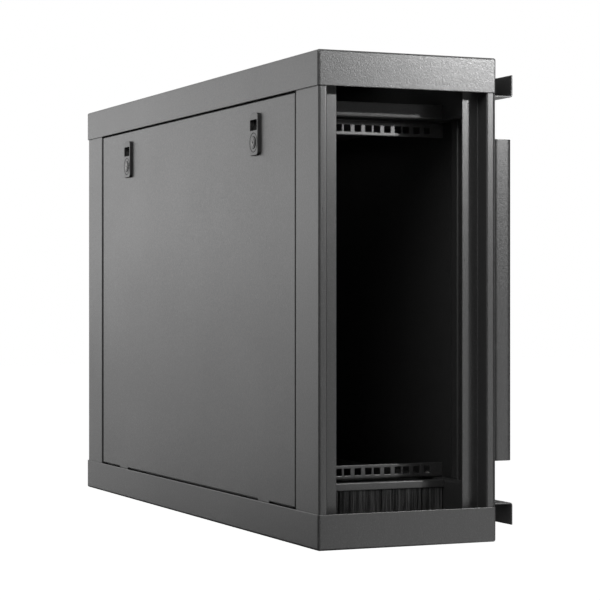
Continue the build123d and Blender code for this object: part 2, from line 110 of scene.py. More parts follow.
class Graph:
    """A shader or geometry tree that is written as expressions."""

    def __init__(self, tree):
        self.tree = tree

    def plug(self, socket, value):
        """Set a socket to a value, a wire or, on a socket that takes many, a list of wires."""
        for item in value if isinstance(value, list) else [value]:
            if isinstance(item, Wire):
                self.tree.links.new(item.socket, socket)
            else:
                socket.default_value = item

    def node(self, kind, settings=None, sockets=None, out=0):
        """Add a node, settings first, and give back one of its outputs."""
        made = self.tree.nodes.new(kind)
        for name, value in (settings or {}).items():
            if name == "stops":
                set_stops(made.color_ramp, value)
            else:
                setattr(made, name, value)
        for name, value in (sockets or {}).items():
            self.plug(made.inputs[name], value)
        return Wire(self, made.outputs[out])

    def math(self, operation, *values):
        """Add a Math node."""
        return self.node("ShaderNodeMath", {"operation": operation}, dict(enumerate(values)))


def set_stops(ramp, stops):
    """Give a colour ramp its stops, each a position and a grey value."""
    while len(ramp.elements) < len(stops):
        ramp.elements.new(1.0)
    for element, (position, grey) in zip(ramp.elements, stops):
        element.position = position
        element.color = (grey, grey, grey, 1.0)


# %% [markdown]
# Every finish here is one Principled shader whose colour, roughness and bump come from patterns in
# Object coordinates. All objects sit at the origin, so those coordinates are metres in the part's own
# frame, and a grain of one millimetre is a texture scale of about one thousand.


# %% Finish helpers
class Finish(Graph):
    """One material: a Principled shader with helpers for the patterns that finishes share."""

    def __init__(self, name, **constants):
        self.material = bpy.data.materials.new(name)
        self.material.use_nodes = True
        super().__init__(self.material.node_tree)
        self.shader = self.tree.nodes["Principled BSDF"]
        for socket, value in constants.items():
            self.shader.inputs[socket.replace("_", " ")].default_value = value
        self.place = self.node("ShaderNodeTexCoord", out="Object")

    def noise(self, scale, detail=2.0, roughness=0.5):
        sockets = {"Vector": self.place, "Scale": scale, "Detail": detail, "Roughness": roughness}
        return self.node("ShaderNodeTexNoise", {}, sockets)

    def cells(self, scale):
        return self.node("ShaderNodeTexVoronoi", {}, {"Vector": self.place, "Scale": scale})

    def between(self, value, low, high):
        """Zero below low, one above high and a smooth step in between."""
        settings = {"interpolation_type": "SMOOTHSTEP"}
        sockets = {"Value": value, "From Min": low, "From Max": high}
        return self.node("ShaderNodeMapRange", settings, sockets)

    def mix(self, factor, first, second):
        """A colour between two colours."""
        sockets = {0: factor, 6: first, 7: second}
        return self.node("ShaderNodeMix", {"data_type": "RGBA"}, sockets, out=2)

    def edges(self, radius):
        """The normal with edges rounded off, and a mask that is one on an edge."""
        rounded = self.node("ShaderNodeBevel", {"samples": 6}, {"Radius": radius})
        true_normal = self.node("ShaderNodeNewGeometry", out="Normal")
        settings = {"operation": "DOT_PRODUCT"}
        agreement = self.node("ShaderNodeVectorMath", settings, {0: rounded, 1: true_normal}, out="Value")
        return rounded, self.between(1 - agreement, 0.03, 0.25)

    def bump(self, height, distance, strength, normal=None):
        sockets = {"Height": height, "Distance": distance, "Strength": strength}
        if normal is not None:
            sockets["Normal"] = normal
        return self.node("ShaderNodeBump", {}, sockets)

    def done(self, colour, roughness, normal=None):
        """Plug the varying values into the shader and give back the material."""
        self.plug(self.shader.inputs["Base Color"], colour)
        self.plug(self.shader.inputs["Roughness"], roughness)
        if normal is not None:
            self.plug(self.shader.inputs["Normal"], normal)
        print("finish", self.material.name, "with", len(self.tree.nodes), "nodes")
        return self.material


def grey(value, warmth=0.0):
    """A neutral colour, a touch warm or cool."""
    return (value * (1 + warmth), value, value * (1 - warmth), 1.0)


# %% [markdown]
# Most of the cabinet is sheet steel in a black powder coat with a fine grain. Powder is melted on, so
# it leaves small pebbles, a coarser mottle, a slow waviness like orange peel, and it thins a little
# over the folds, where handling polishes it. A flat black would look like paper: it is the grain that
# breaks up the highlight. Pebbles, grain and mottle go into the bump, the polish on the folds into
# colour and roughness.

# %% Powder coat
COAT_BLACK = grey(0.020)
COAT_FLECK = grey(0.044)
COAT_EDGE = grey(0.060)
COAT_SHINE = 0.8
COAT_ROUGHNESS = 0.38
COAT_EDGE_RADIUS = 1.8 * MM
COAT_GRAIN_DEPTH = 0.12 * MM


def powder_coat():
    coat = Finish("powder_coat_black", Specular_IOR_Level=COAT_SHINE)
    pebbles = coat.cells(700)
    grain = coat.noise(520, detail=4, roughness=0.7)
    mottle = coat.noise(330, detail=1)
    peel = coat.noise(120, detail=2)
    cloud = coat.noise(6, detail=3)
    rounded, edge = coat.edges(COAT_EDGE_RADIUS)
    scuff = edge * coat.between(coat.noise(260, detail=3), 0.35, 0.7)
    flecks = coat.between(grain, 0.48, 0.72)
    colour = coat.mix(flecks, COAT_BLACK, COAT_FLECK)
    colour = coat.mix(scuff * 0.7, colour, COAT_EDGE)
    gloss = COAT_ROUGHNESS + (grain - 0.5) * 0.45 + (mottle - 0.5) * 0.1
    gloss = gloss + (cloud - 0.5) * 0.06 - edge * 0.06
    height = pebbles * 0.5 + grain * 1.2 + mottle * 0.55 + peel * 0.5
    return coat.done(colour, gloss, coat.bump(height, COAT_GRAIN_DEPTH, 0.8, rounded))


steel_coat = powder_coat()

# %% [markdown]
# The latch has a face plate in nearly the same coat as the panel and black moulded sides. Both are one
# solid in the frame, so the finish looks at which way the surface faces: the plate is what faces away
# from the panel, along -X in the part's own coordinates.

# %% Latch finishes
PLASTIC_BLACK = grey(0.006)


def latch_finish():
    latch = Finish("latch_plate_and_body", Specular_IOR_Level=COAT_SHINE)
    facing = latch.node("ShaderNodeTexCoord", out="Normal")
    across = latch.node("ShaderNodeSeparateXYZ", {}, {0: facing}, out="X")
    plate = latch.between(across * -1, 0.55, 0.8)
    grain = latch.noise(1500, detail=3)
    rounded, edge = latch.edges(0.4 * MM)
    painted = latch.mix(latch.between(grain, 0.5, 0.75), COAT_BLACK, COAT_FLECK)
    painted = latch.mix(edge * 0.4, painted, COAT_EDGE)
    colour = latch.mix(plate, PLASTIC_BLACK, painted)
    gloss = 0.62 - plate * 0.20 + (grain - 0.5) * 0.12
    return latch.done(colour, gloss, latch.bump(grain, 0.05 * MM, 0.25, rounded))


def black_plastic():
    """Moulded plastic with a spark-eroded grain."""
    plastic = Finish("moulded_black_plastic", Specular_IOR_Level=0.06)
    grain = plastic.noise(2600, detail=3, roughness=0.6)
    flow = plastic.noise(45, detail=2)
    colour = plastic.mix(plastic.between(flow, 0.35, 0.7), PLASTIC_BLACK, grey(0.011))
    gloss = 0.68 + (grain - 0.5) * 0.2
    return plastic.done(colour, gloss, plastic.bump(grain, 0.04 * MM, 0.3))


latch_coat = latch_finish()
plastic = black_plastic()

# %% [markdown]
# Bare metal parts are two: the key lock, a dull plated casting that is turned on its face, and the
# fasteners in dark zinc plate. Turning leaves fine marks, and plating leaves a cloudy crystal pattern.
# Both are metallic, so the colour is what they reflect, and the pattern mostly goes into roughness.

# %% Metal finishes
DULL_SHADE = 0.62


def turned_metal(name, colour, mark_scale, roughness):
    """Plated metal with faint tool marks and clouded plating."""
    metal = Finish(name, Metallic=1.0)
    crystals = metal.cells(700)
    cloud = metal.noise(60, detail=4)
    marks = metal.noise(mark_scale, detail=2)
    dull = metal.between(cloud, 0.3, 0.75)
    shade = tuple(DULL_SHADE * channel for channel in colour[:3]) + (1.0,)
    tint = metal.mix(dull, colour, shade)
    gloss = roughness + dull * 0.14 + (crystals - 0.4) * 0.12
    return metal.done(tint, gloss, metal.bump(marks, 0.02 * MM, 0.3))


lock_metal = turned_metal("lock_metal_dark", grey(0.22, 0.01), 2200, 0.30)
zinc = turned_metal("zinc_plate", grey(0.18, 0.02), 1200, 0.42)

# %% [markdown]
# Brush filaments are black nylon: smooth, a little shiny, each strand slightly different. The strands
# stand along Z, so noise that is stretched along Z gives every strand its own tone.


# %% Nylon
def nylon():
    fibre = Finish("brush_nylon", Specular_IOR_Level=0.5)
    stretch = {"Vector": fibre.place, "Scale": (1.0, 1.0, 0.02)}
    fibre.place = fibre.node("ShaderNodeMapping", {}, stretch)
    strand = fibre.noise(1400, detail=1)
    tuft = fibre.noise(220, detail=2)
    tone = fibre.between(strand * 0.6 + tuft * 0.4, 0.38, 0.66)
    colour = fibre.mix(tone, grey(0.012), grey(0.080))
    return fibre.done(colour, 0.36 + tone * 0.12)


brush_nylon = nylon()

# %% [markdown]
# The frame's nodes already carry the name of their finish from the record. Each slot name is swapped
# for the finish made above, on the object's material slots, and the meshes themselves stay untouched.

# %% Give the frame its finishes
finishes = {
    "powder_coat": steel_coat,
    "latch_coat": latch_coat,
    "black_plastic": plastic,
    "lock_metal": lock_metal,
    "zinc_steel": zinc,
    "bristle": brush_nylon,
}
node_slots = {part["node"]: part["material_slot"] for part in frame["record"]["subparts"]}
for name, node in nodes.items():
    for slot in node.material_slots:
        slot.material = finishes[node_slots[name]]
print("dressed", len(nodes), "nodes in", len(finishes), "finishes")

# %% [markdown]
# Screws, nuts and bristles repeat, so Geometry Nodes make them. A tree is built once with named sizes,
# is run on a mesh of points, and its result is kept as a plain mesh. The last two nodes of each tree
# turn instances into real geometry and give it a material.


# %% Geometry tree helpers
def new_tree(name, sizes):
    """A geometry tree with one named input for each size; a size is given by its socket type."""
    tree = bpy.data.node_groups.new(name, "GeometryNodeTree")
    interface = tree.interface
    interface.new_socket("Geometry", in_out="INPUT", socket_type="NodeSocketGeometry")
    for label, kind in sizes.items():
        interface.new_socket(label, in_out="INPUT", socket_type="NodeSocket" + kind)
    interface.new_socket("Finish", in_out="INPUT", socket_type="NodeSocketMaterial")
    interface.new_socket("Geometry", in_out="OUTPUT", socket_type="NodeSocketGeometry")
    graph = Graph(tree)
    start = tree.nodes.new("NodeGroupInput")
    return graph, {socket.name: Wire(graph, socket) for socket in start.outputs if socket.name}


def end_tree(graph, geometry, finish):
    """Close a tree: real geometry, a material, the output."""
    real = graph.node("GeometryNodeRealizeInstances", {}, {"Geometry": geometry})
    coated = graph.node("GeometryNodeSetMaterial", {}, {"Geometry": real, "Material": finish})
    output = graph.tree.nodes.new("NodeGroupOutput")
    graph.plug(output.inputs[0], coated)
    return graph.tree


def point_mesh(name, places, **directions):
    """A mesh of loose points with one vector attribute for each named list of directions."""
    mesh = bpy.data.meshes.new(name)
    mesh.from_pydata(places, [], [])
    for label, vectors in directions.items():
        attribute = mesh.attributes.new(label, "FLOAT_VECTOR", "POINT")
        attribute.data.foreach_set("vector", [value for vector in vectors for value in vector])
    return mesh


def grow(name, mesh, tree, **sizes):
    """Run a tree on a mesh and keep the result as a plain mesh object."""
    seedling = bpy.data.objects.new(name + "_points", mesh)
    bpy.context.collection.objects.link(seedling)
    modifier = seedling.modifiers.new("rule", "NODES")
    modifier.node_group = tree
    for item in tree.interface.items_tree:
        if item.in_out == "INPUT" and item.name.replace(" ", "_") in sizes:
            modifier[item.identifier] = sizes[item.name.replace(" ", "_")]
    evaluated = seedling.evaluated_get(bpy.context.evaluated_depsgraph_get())
    made = bpy.data.meshes.new_from_object(evaluated)
    bpy.data.objects.remove(seedling)
    piece = bpy.data.objects.new(name, made)
    bpy.context.collection.objects.link(piece)
    print(name, "has", len(made.polygons), "faces")
    return piece


# %% [markdown]
# The frame says where each fastener sits: one node holds several separate solids, so its mesh falls
# apart into islands once doubles are merged. The box of an island gives its axis, its head and its
# shank, and nothing has to be typed in twice. Sorted by place, they come in the same order each run.


# %% Read the solids of a node
TOUCHING = 0.001 * MM
HEAD_SHARE = 0.9


def box_of(points):
    low = Vector(min(p[i] for p in points) for i in range(3))
    high = Vector(max(p[i] for p in points) for i in range(3))
    return low, high


def place_order(points):
    """Where a solid lies, to a hundredth of a millimetre."""
    return [round(v / MM, 2) for v in box_of(points)[0]]


def islands(node):
    """The points of each separate solid in a node, sorted by place."""
    work = bmesh.new()
    work.from_mesh(nodes[node].data)
    bmesh.ops.remove_doubles(work, verts=work.verts, dist=TOUCHING)
    left = set(work.verts)
    found = []
    while left:
        island, frontier = [], [left.pop()]
        while frontier:
            vertex = frontier.pop()
            island.append(vertex)
            near = [e.other_vert(vertex) for e in vertex.link_edges]
            fresh = [v for v in near if v in left]
            left.difference_update(fresh)
            frontier.extend(fresh)
        found.append([v.co.copy() for v in island])
    work.free()
    return sorted(found, key=place_order)


def read_screw(points, axis):
    """Seat, facing and sizes of one screw that lies along an axis (0, 1 or 2)."""
    low, high = box_of(points)
    middle = (low + high) / 2
    sides = [i for i in range(3) if i != axis]
    head_radius = (high - low)[sides[0]] / 2
    reach = [math.hypot(*(p[i] - middle[i] for i in sides)) for p in points]
    head = [p[axis] for p, r in zip(points, reach) if r > HEAD_SHARE * head_radius]
    shank_radius = max(r for r in reach if r < HEAD_SHARE * head_radius)
    sign = 1 if max(head) > high[axis] - TOUCHING else -1
    seat = middle.copy()
    seat[axis] = min(head) if sign > 0 else max(head)
    facing = Vector((0, 0, 0))
    facing[axis] = sign
    head_height = max(head) - min(head)
    shank_length = (high - low)[axis] - head_height
    return seat, facing, (head_radius, head_height, shank_radius, shank_length)


# %% [markdown]
# A pan head screw is a low drum with a rounded shoulder, a cross recess and a threaded shank. Inside
# the tree the head is a cylinder whose rings are drawn in with height, the recess is two bars taken
# away by a Boolean, and the shank is a cylinder with rippled rings in place of a helix, which nobody
# can tell apart behind a nut. Shoulder and recess are shares of the head, so that one tree fits every
# screw. It is then set on every point, turned to its facing, and spun by a seeded random angle,
# because no two screws stop at the same place.

# %% Cross head screws
ROUND_STEPS, SHANK_STEPS = 24, 16
HEAD_RINGS, THREAD_RINGS = 8, 4
SHOULDER_START, SHOULDER_DRAW = 0.35, 0.62
RECESS_LENGTH, RECESS_WIDTH, RECESS_DEPTH = 1.05, 0.24, 0.55
THREAD_DEPTH = 0.06
SCREW_SIZES = {
    "Head radius": "Float", "Head height": "Float", "Shank radius": "Float", "Shank length": "Float",
    "Pitch": "Float", "Seed": "Int",
}


def reshape(graph, mesh, rule):
    """Move the points of a mesh: rule takes x, y and z wires and gives new ones."""
    here = graph.node("GeometryNodeInputPosition")
    split = graph.tree.nodes.new("ShaderNodeSeparateXYZ")
    graph.plug(split.inputs[0], here)
    moved = rule(*(Wire(graph, socket) for socket in split.outputs))
    place = graph.node("ShaderNodeCombineXYZ", {}, dict(enumerate(moved)))
    return graph.node("GeometryNodeSetPosition", {}, {"Geometry": mesh, "Position": place})


def drum(graph, radius, height, base, rings, steps=ROUND_STEPS):
    """A cylinder that stands on the height base."""
    sockets = {
        "Vertices": steps, "Side Segments": rings, "Fill Segments": 2, "Radius": radius, "Depth": height,
    }
    cylinder = graph.node("GeometryNodeMeshCylinder", {}, sockets)
    shift = graph.node("ShaderNodeCombineXYZ", {}, {2: base + height * 0.5})
    return graph.node("GeometryNodeTransform", {}, {"Geometry": cylinder, "Translation": shift})


def bar(graph, length, width, depth, top):
    """A box centred on the axis, hanging down from the height top."""
    size = graph.node("ShaderNodeCombineXYZ", {}, {0: length, 1: width, 2: depth * 2})
    cube = graph.node("GeometryNodeMeshCube", {}, {"Size": size})
    shift = graph.node("ShaderNodeCombineXYZ", {}, {2: top})
    return graph.node("GeometryNodeTransform", {}, {"Geometry": cube, "Translation": shift})


def set_out(graph, points, shape, seed, free_spin):
    """Put a shape on every point, standing along its facing, spun by chance or along its corner."""
    axes = {}
    for label, socket in (("facing", 0), ("corner", 1)):
        settings = {"data_type": "FLOAT_VECTOR"}
        axes[socket] = graph.node("GeometryNodeInputNamedAttribute", settings, {"Name": label})
    settings = {"primary_axis": "Z", "secondary_axis": "X"}
    turn = graph.node("FunctionNodeAxesToRotation", settings, axes)
    sockets = {"Points": points, "Instance": shape, "Rotation": turn}
    placed = graph.node("GeometryNodeInstanceOnPoints", {}, sockets)
    chance = graph.node("FunctionNodeRandomValue", {}, {2: 0.0, 3: free_spin, "Seed": seed}, out=1)
    spin = graph.node("ShaderNodeCombineXYZ", {}, {2: chance})
    return graph.node("GeometryNodeRotateInstances", {}, {"Instances": placed, "Rotation": spin})


def screw_tree():
    graph, size = new_tree("cross_head_screw", SCREW_SIZES)
    radius, height = size["Head radius"], size["Head height"]
    blank = drum(graph, radius, height, 0.0, HEAD_RINGS)

    def shoulder(x, y, z):
        rise = graph.math("MAXIMUM", z / height - SHOULDER_START, 0.0) / (1 - SHOULDER_START)
        draw_in = graph.math("SQRT", 1 - rise * rise * SHOULDER_DRAW)
        return x * draw_in, y * draw_in, z

    dome = reshape(graph, blank, shoulder)
    length, width, depth = radius * RECESS_LENGTH, radius * RECESS_WIDTH, height * RECESS_DEPTH
    arms = [bar(graph, length, width, depth, height), bar(graph, width, length, depth, height)]
    head = graph.node("GeometryNodeMeshBoolean", {"solver": "EXACT"}, {"Mesh 1": dome, "Mesh 2": arms})
    shank_length, pitch = size["Shank length"], size["Pitch"]
    rings = shank_length / pitch * THREAD_RINGS
    shank = drum(graph, size["Shank radius"], shank_length, shank_length * -1, rings, steps=SHANK_STEPS)

    def thread(x, y, z):
        wave = graph.math("COSINE", z / pitch * math.tau)
        groove = 1 - (wave + 1) * (THREAD_DEPTH / 2)
        return x * groove, y * groove, z

    parts = [head, reshape(graph, shank, thread)]
    screw = graph.node("GeometryNodeJoinGeometry", {}, {"Geometry": parts})
    placed = set_out(graph, size["Geometry"], screw, size["Seed"], math.tau)
    return end_tree(graph, placed, size["Finish"])


def across(facing):
    """A direction at right angles to a facing along one of the axes."""
    return Vector((facing.y, facing.z, facing.x))


def make_screws(node, axis, body, pitch, seed):
    """Replace a node of plain screws by detailed ones."""
    read = [read_screw(points, axis) for points in islands(node)]
    facings = [facing for _, facing, _ in read]
    corners = [across(facing) for facing in facings]
    places = point_mesh(node + "_seats", [seat for seat, _, _ in read], facing=facings, corner=corners)
    head_radius, head_height, shank_radius, shank_length = read[0][2]
    piece = grow(
        "cross_head_" + node, places, cross_head_screw, Head_radius=head_radius, Head_height=head_height,
        Shank_radius=shank_radius, Shank_length=shank_length, Pitch=pitch, Seed=seed, Finish=zinc,
    )
    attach(piece, body)
    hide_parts(node)


cross_head_screw = screw_tree()
X_AXIS, Y_AXIS, Z_AXIS = range(3)
M6_PITCH, M4_PITCH = 1.0 * MM, 0.7 * MM
make_screws("front_rail_bolts", Z_AXIS, "housing", M6_PITCH, 1)
make_screws("upper_rear_rail_bolts", Z_AXIS, "upper_rear_rail", M6_PITCH, 2)
make_screws("lower_rear_rail_bolts", Z_AXIS, "lower_rear_rail", M6_PITCH, 3)
make_screws("wall_bolts", X_AXIS, "housing", M6_PITCH, 4)
make_screws("bar_screws", X_AXIS, "housing", M4_PITCH, 5)
make_screws("wall_panel_screws", X_AXIS, "housing", M4_PITCH, 6)
make_screws("rear_panel_screws", Y_AXIS, "housing", M4_PITCH, 7)

# %% [markdown]
# A hexagon nut is a six-sided prism whose corners are turned off on both faces, which leaves the small
# arcs that make a nut look like a nut. The arcs come by themselves from a Boolean: the prism is cut to
# what it shares with a round blank whose two ends are drawn in. A bore goes through the middle.

# %% Nuts
NUT_SIZES = {"Across flats": "Float", "Height": "Float", "Bore": "Float", "Seed": "Int"}
BLANK_OVERSIZE = 1.002
CHAMFER_START, CHAMFER_DRAW = 0.7, 0.11
BORE_REACH = 1.2


def nut_tree():
    graph, size = new_tree("hexagon_nut", NUT_SIZES)
    height = size["Height"]
    corner = size["Across flats"] / math.sqrt(3)
    prism = drum(graph, corner, height, height * -0.5, 1, steps=6)
    blank = drum(graph, corner * BLANK_OVERSIZE, height, height * -0.5, 10, steps=36)

    def turned_ends(x, y, z):
        end = graph.math("ABSOLUTE", z / height) * 2
        past = graph.math("MAXIMUM", (end - CHAMFER_START) / (1 - CHAMFER_START), 0.0)
        draw_in = 1 - past * CHAMFER_DRAW
        return x * draw_in, y * draw_in, z

    blank = reshape(graph, blank, turned_ends)
    settings = {"operation": "INTERSECT", "solver": "EXACT"}
    nut = graph.node("GeometryNodeMeshBoolean", settings, {"Mesh 2": [prism, blank]})
    bore = drum(graph, size["Bore"], height * BORE_REACH, height * (-BORE_REACH / 2), 1, steps=20)
    nut = graph.node("GeometryNodeMeshBoolean", {"solver": "EXACT"}, {"Mesh 1": nut, "Mesh 2": [bore]})
    placed = set_out(graph, size["Geometry"], nut, size["Seed"], 0.0)
    return end_tree(graph, placed, size["Finish"])


def read_nut(points, axis):
    """Middle, facing, corner direction and sizes of one nut."""
    low, high = box_of(points)
    size = high - low
    wide, narrow = sorted((i for i in range(3) if i != axis), key=lambda i: -size[i])
    middle = (low + high) / 2
    bore = min(math.hypot(p[wide] - middle[wide], p[narrow] - middle[narrow]) for p in points)
    facing, corner = Vector((0, 0, 0)), Vector((0, 0, 0))
    facing[axis] = 1
    corner[wide] = 1
    return middle, facing, corner, (size[narrow], size[axis], bore)


def make_nuts(node, axis, body):
    """Replace a node of plain nut blanks by chamfered nuts."""
    read = [read_nut(points, axis) for points in islands(node)]
    middles, facings, corners, sizes = (list(column) for column in zip(*read))
    places = point_mesh(node + "_middles", middles, facing=facings, corner=corners)
    flats, height, bore = sizes[0]
    piece = grow(
        "chamfered_" + node, places, hexagon_nut, Across_flats=flats, Height=height, Bore=bore, Seed=0,
        Finish=zinc,
    )
    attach(piece, body)
    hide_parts(node)


hexagon_nut = nut_tree()
make_nuts("front_rail_nuts", Z_AXIS, "housing")
make_nuts("upper_rear_rail_nuts", Z_AXIS, "upper_rear_rail")
make_nuts("lower_rear_rail_nuts", Z_AXIS, "lower_rear_rail")
make_nuts("cap_nuts", Z_AXIS, "housing")
make_nuts("wall_nuts", X_AXIS, "housing")

# %% [markdown]
# The cable brush closes the gap under the lower rail. In the frame it is one slab; the real one is
# some thousand nylon strands, folded over a wire in the holder. A strand is a thin cone, set on random
# points across the slab's top. Strands lean in bunches and leave dark gaps, so the lean follows a
# noise along the brush, grows towards the tip, and strands in the thinnest places are taken out.

# %% Bristles
BRISTLE_SIZES = {
    "Count": "Int", "Length": "Float", "Half width": "Float", "Half depth": "Float",
    "Thickness": "Float", "Lean": "Float", "Seed": "Int",
}
STRAND = 0.34 * MM
STRAND_COUNT = 4200
STRAND_LEAN = 7.0 * MM
STRAND_ROOT, STRAND_TIP = 0.5, 0.3
SHORTEST_STRAND = 0.93
BUNCH_SCALE, THIN_SPOT = 240.0, 0.40
SWAY_SCALES, SWAY_BACK = (150.0, 190.0), 0.6


def bristle_tree():
    graph, size = new_tree("bristle_row", BRISTLE_SIZES)
    seed = size["Seed"]
    reach = graph.node("ShaderNodeCombineXYZ", {}, {0: size["Half width"], 1: size["Half depth"]})
    settings = {"operation": "SCALE"}
    back = graph.node("ShaderNodeVectorMath", settings, {0: reach, "Scale": -1.0})
    settings = {"data_type": "FLOAT_VECTOR"}
    spots = graph.node("FunctionNodeRandomValue", settings, {0: back, 1: reach, "Seed": seed})
    points = graph.node("GeometryNodePoints", {}, {"Count": size["Count"], "Position": spots})
    here = graph.node("GeometryNodeInputPosition")
    along = graph.node("ShaderNodeSeparateXYZ", {}, {0: here})
    settings = {"noise_dimensions": "1D"}
    sockets = {"W": along, "Scale": BUNCH_SCALE, "Detail": 2.0}
    thin = graph.node("ShaderNodeTexNoise", settings, sockets)
    sockets = {"Geometry": points, "Selection": thin < THIN_SPOT}
    points = graph.node("GeometryNodeDeleteGeometry", {"domain": "POINT"}, sockets)
    sockets = {
        "Vertices": 4, "Side Segments": 5, "Radius Top": size["Thickness"] * STRAND_TIP,
        "Radius Bottom": size["Thickness"] * STRAND_ROOT, "Depth": size["Length"],
    }
    cone = graph.node("GeometryNodeMeshCone", {"fill_type": "NONE"}, sockets)
    down = graph.node("GeometryNodeTransform", {}, {"Geometry": cone, "Rotation": (math.pi, 0, 0)})
    sockets = {2: SHORTEST_STRAND, 3: 1.0, "Seed": seed + 1}
    trim = graph.node("FunctionNodeRandomValue", {}, sockets, out=1)
    tall = graph.node("ShaderNodeCombineXYZ", {}, {0: 1.0, 1: 1.0, 2: trim})
    sockets = {"Points": points, "Instance": down, "Scale": tall}
    rows = graph.node("GeometryNodeInstanceOnPoints", {}, sockets)
    spin = graph.node("FunctionNodeRandomValue", {}, {2: 0.0, 3: math.tau, "Seed": seed + 2}, out=1)
    turn = graph.node("ShaderNodeCombineXYZ", {}, {2: spin})
    rows = graph.node("GeometryNodeRotateInstances", {}, {"Instances": rows, "Rotation": turn})
    real = graph.node("GeometryNodeRealizeInstances", {}, {"Geometry": rows})

    def lean(x, y, z):
        drop = z / size["Length"]
        bend = drop * drop * size["Lean"]
        settings = {"noise_dimensions": "2D"}
        spot = graph.node("ShaderNodeCombineXYZ", {}, {0: x, 1: y})
        sway = []
        for scale in SWAY_SCALES:
            sockets = {"Vector": spot, "Scale": scale, "Detail": 2.0}
            sway.append(graph.node("ShaderNodeTexNoise", settings, sockets) - 0.5)
        return x + bend * sway[0], y + bend * sway[1] * SWAY_BACK, z

    return end_tree(graph, reshape(graph, real, lean), size["Finish"])


low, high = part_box("brush_bristles")
brush_top = Vector(((low.x + high.x) / 2, (low.y + high.y) / 2, high.z))
bristles = grow(
    "nylon_bristles", point_mesh("brush_start", []), bristle_tree(), Count=STRAND_COUNT,
    Length=high.z - low.z, Half_width=(high.x - low.x) / 2 - STRAND,
    Half_depth=(high.y - low.y) / 2 - STRAND, Thickness=STRAND, Lean=STRAND_LEAN, Seed=11,
    Finish=brush_nylon,
)
for vertex in bristles.data.vertices:
    vertex.co += brush_top
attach(bristles, "housing")
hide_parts("brush_bristles")
print("bristles reach", [round(v / MM, 1) for v in box_of([v.co for v in bristles.data.vertices])[0]])

# %% [markdown]
# Each latch has a slide button behind its window and a key lock below it. The button gets four grip
# ribs, so that a fingertip holds on it. Ribs are one bar repeated along a line, and they ride on the
# slider's body, so they travel with it.

# %% Grip ribs
RIB_SIZES = {"Count": "Int", "Step": "Float", "Length": "Float", "Width": "Float", "Height": "Float"}
RIB_COUNT = 4
RIB_STEP = 1.4 * MM
RIB_WIDTH = 0.7 * MM
RIB_HEIGHT = 0.6 * MM
RIB_END_GAP = 2.5 * MM


def rib_tree():
    graph, size = new_tree("grip_ribs", RIB_SIZES)
    span = (size["Count"] - 1) * size["Step"]
    start = graph.node("ShaderNodeCombineXYZ", {}, {2: span * -0.5})
    step = graph.node("ShaderNodeCombineXYZ", {}, {2: size["Step"]})
    sockets = {"Count": size["Count"], "Start Location": start, "Offset": step}
    line = graph.node("GeometryNodeMeshLine", {}, sockets)
    sockets = {"Vertices": 12, "Radius": 0.5, "Depth": size["Length"]}
    rod = graph.node("GeometryNodeMeshCylinder", {}, sockets)
    laid = graph.node("GeometryNodeTransform", {}, {"Geometry": rod, "Rotation": (math.pi / 2, 0, 0)})
    squeeze = graph.node("ShaderNodeCombineXYZ", {}, {0: size["Height"] * 2, 1: 1.0, 2: size["Width"]})
    shaped = graph.node("GeometryNodeTransform", {}, {"Geometry": laid, "Scale": squeeze})
    row = graph.node("GeometryNodeInstanceOnPoints", {}, {"Points": line, "Instance": shaped})
    return end_tree(graph, row, size["Finish"])


def grip_ribs(end):
    slider = end + "_latch_slider"
    points = islands(slider)[0]
    low, high = box_of(points)
    face = [p for p in points if p.x < low.x + TOUCHING]
    face_low, face_high = box_of(face)
    length = face_high.y - face_low.y - 2 * RIB_END_GAP
    ribs = grow(
        end + "_grip_ribs", point_mesh(end + "_rib_start", []), grip_rib_tree, Count=RIB_COUNT,
        Step=RIB_STEP, Length=length, Width=RIB_WIDTH, Height=RIB_HEIGHT, Finish=plastic,
    )
    middle = (face_low + face_high) / 2
    for vertex in ribs.data.vertices:
        vertex.co += middle
    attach(ribs, slider)


grip_rib_tree = rib_tree()
for end in ("front", "rear"):
    grip_ribs(end)

# %% [markdown]
# The key lock is a turned barrel. Its face has a raised rim, a groove and a shallow dish around the
# keyhole, and two thin black rings on the face plate around it are painted shade, standing in for the
# shade in its seams. Those rings are what the photograph shows. The face is a list of shares of the
# barrel's radius and depths in small steps, which is spun about the barrel's axis, and the keyhole, a
# round hole with a slot, is taken out by a Boolean.

# %% Key locks
LOCK_STEPS = 64
WELD = 0.002 * MM
RIM, RIM_EDGE = 0.86, 0.95
GROOVE, GROOVE_WALL = 0.74, 0.03
DISH, DISH_FLOOR = 0.62, 0.42
LOCK_FACE = (
    (0.0, 1.1), (DISH_FLOOR, 0.9), (DISH, 0.5), (GROOVE, 0.45), (GROOVE + GROOVE_WALL, 1.6),
    (RIM - GROOVE_WALL, 1.6), (RIM, 0.1), (RIM_EDGE, 0.0), (1.0, 0.4),
)
KEYHOLE = 0.36
KEY_SLOT_WIDTH = 1.6 * MM
KEY_SLOT_HEIGHT = 6.4 * MM
KEYHOLE_DEPTH = 2.6 * MM
FACE_STEP = 0.35 * MM
LOCK_PROUD = 1.4 * MM
# Height and radii of the two black rings that paint the shade of the seams around the lock.
SHADE_RING_HEIGHT = 0.25 * MM
PAINTED_SHADE_RINGS = {"_small_seam": (8.0 * MM, 8.8 * MM), "_large_seam": (12.8 * MM, 13.6 * MM)}


def lathe(name, profile, middle):
    """Spin a profile of (radius, depth) pairs about an axis along X through a point."""
    work = bmesh.new()
    line = [work.verts.new((depth, radius, 0)) for radius, depth in profile]
    edges = [work.edges.new(pair) for pair in zip(line, line[1:])]
    bmesh.ops.spin(
        work, geom=line + edges, axis=(1, 0, 0), cent=(0, 0, 0), angle=math.tau, steps=LOCK_STEPS,
    )
    bmesh.ops.remove_doubles(work, verts=work.verts, dist=WELD)
    bmesh.ops.recalc_face_normals(work, faces=work.faces)
    bmesh.ops.translate(work, verts=work.verts, vec=middle)
    mesh = bpy.data.meshes.new(name)
    work.to_mesh(mesh)
    work.free()
    return mesh


